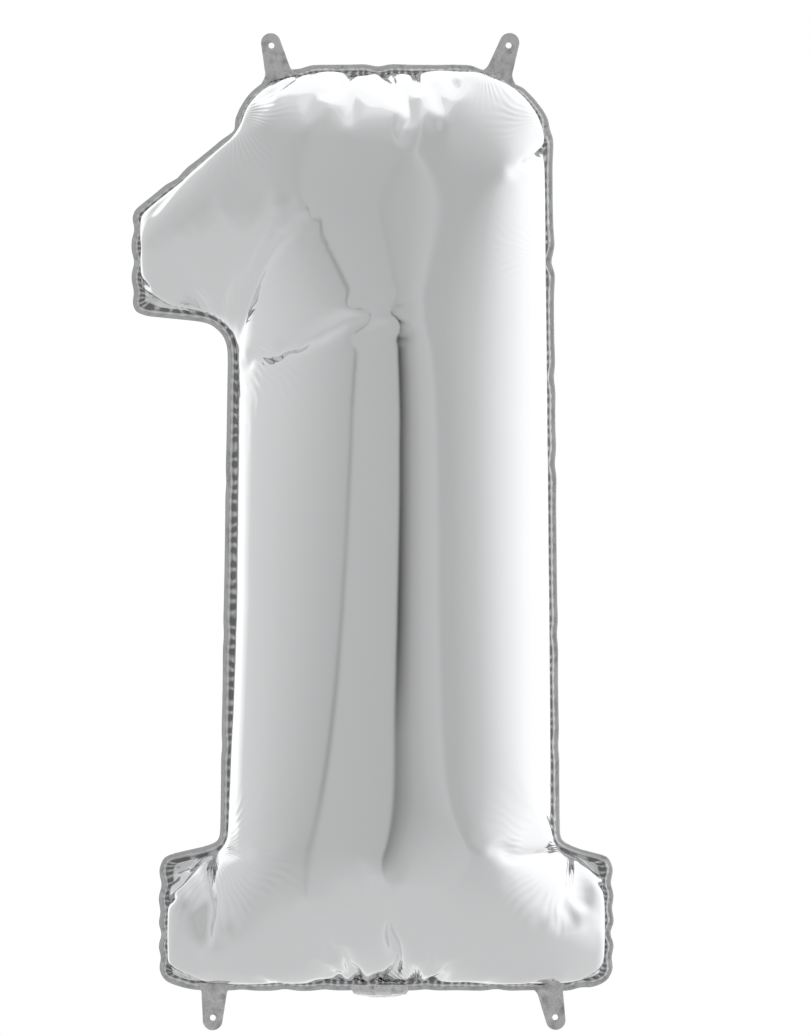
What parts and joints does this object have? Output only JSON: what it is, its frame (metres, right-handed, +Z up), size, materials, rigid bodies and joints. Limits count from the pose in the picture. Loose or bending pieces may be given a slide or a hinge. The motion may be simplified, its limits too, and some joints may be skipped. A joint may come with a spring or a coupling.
{
  "type": "foil number balloon",
  "caption": "Inflated foil balloon in the shape of the digit one, with a heat-sealed rim, holed hanging tabs and a folded inflation tail with a self-sealing valve.",
  "frame": {"origin": "midway between the holes of the two top tabs, where the balloon hangs from", "axes": "+Z up along the digit's height, -Y out of the front face, +X to the right as the digit is read"},
  "size_m": [0.442, 0.29, 0.9124],
  "materials": {
    "silver_foil": "bright vacuum-metallised film, mirror-like",
    "sealed_foil": "heat-sealed double film, finely puckered",
    "tab_foil": "flat double film, creased",
    "tail_foil": "slack film, crumpled at the fold",
    "valve_film": "clear polyethylene film",
    "release_ink": "printed heat-proof ink"
  },
  "bodies": {
    "envelope": {"front_panel": "silver_foil", "back_panel": "silver_foil", "heat_seal_rim": "sealed_foil", "neck_root": "tail_foil", "valve_throat_front": "valve_film", "valve_throat_back": "valve_film", "valve_release_print": "release_ink"},
    "tail": {"inflation_tail": "tail_foil", "valve_tail_front": "valve_film", "valve_tail_back": "valve_film"},
    "valve_front": {"valve_front_film": "valve_film"},
    "valve_back": {"valve_back_film": "valve_film"},
    "tab_top_left": {"tab_top_left": "tab_foil"},
    "tab_top_right": {"tab_top_right": "tab_foil"},
    "tab_bottom_left": {"tab_bottom_left": "tab_foil"},
    "tab_bottom_right": {"tab_bottom_right": "tab_foil"}
  },
  "joints": [
    {"name": "tab_top_left_flex", "type": "hinge", "parent": "envelope", "child": "tab_top_left", "pos_m": [-0.1033, 0, -0.02086], "axis": [0.9703, 0, 0.2419], "range_deg": [-80, 80], "stiffness_Nm_per_rad": 0.0006},
    {"name": "tab_top_right_flex", "type": "hinge", "parent": "envelope", "child": "tab_top_right", "pos_m": [0.1015, 0, -0.02033], "axis": [0.9455, 0, -0.3256], "range_deg": [-80, 80], "stiffness_Nm_per_rad": 0.0006},
    {"name": "tab_bottom_left_flex", "type": "hinge", "parent": "envelope", "child": "tab_bottom_left", "pos_m": [-0.161, 0, -0.868], "axis": [0.9986, 0, -0.0523], "range_deg": [-80, 80], "stiffness_Nm_per_rad": 0.0006},
    {"name": "tab_bottom_right_flex", "type": "hinge", "parent": "envelope", "child": "tab_bottom_right", "pos_m": [0.147, 0, -0.868], "axis": [0.9816, 0, 0.1908], "range_deg": [-80, 80], "stiffness_Nm_per_rad": 0.0006},
    {"name": "tail_fold", "type": "hinge", "parent": "envelope", "child": "tail", "pos_m": [-0.009, 0, -0.868], "axis": [1, 0, 0], "range_deg": [-180, 0]},
    {"name": "valve_front_open", "type": "hinge", "parent": "envelope", "child": "valve_front", "pos_m": [-0.009, 0, -0.8589], "axis": [1, 0, 0], "range_deg": [0, 12], "stiffness_Nm_per_rad": 0.001},
    {"name": "valve_back_open", "type": "hinge", "parent": "envelope", "child": "valve_back", "pos_m": [-0.009, 0, -0.8589], "axis": [1, 0, 0], "range_deg": [-12, 0], "stiffness_Nm_per_rad": 0.001}
  ],
  "couplings": [
    {"joint": "valve_back_open", "follows": "valve_front_open", "ratio": -1}
  ]
}
